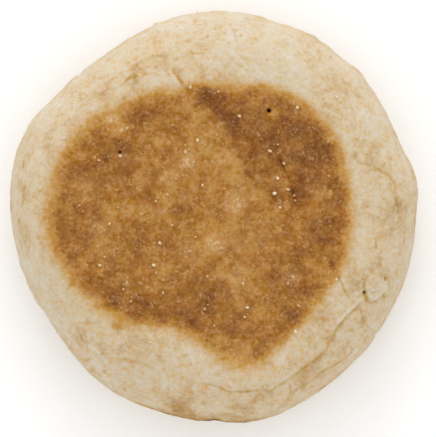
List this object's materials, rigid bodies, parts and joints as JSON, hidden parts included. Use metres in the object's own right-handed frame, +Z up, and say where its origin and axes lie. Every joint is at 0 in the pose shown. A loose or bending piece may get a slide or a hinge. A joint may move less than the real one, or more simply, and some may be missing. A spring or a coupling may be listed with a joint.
{
  "type": "english muffin",
  "caption": "Whole uncut griddled bread round, browned flat faces, pale soft sides, a torn flap and creases in the crust, dusted with semolina.",
  "frame": {"origin": "centre of the overall outline, in the plane of the flat base that the muffin rests on", "axes": "+Z up through the thickness, +X and +Y across the round in plan, with the torn flap towards +X and -Y"},
  "size_m": [0.092, 0.0927, 0.0281],
  "materials": {
    "crust": "matt griddled bread crust, golden brown on the flats and floury cream round the sides"
  },
  "bodies": {
    "root": {"muffin": "crust"}
  },
  "joints": []
}
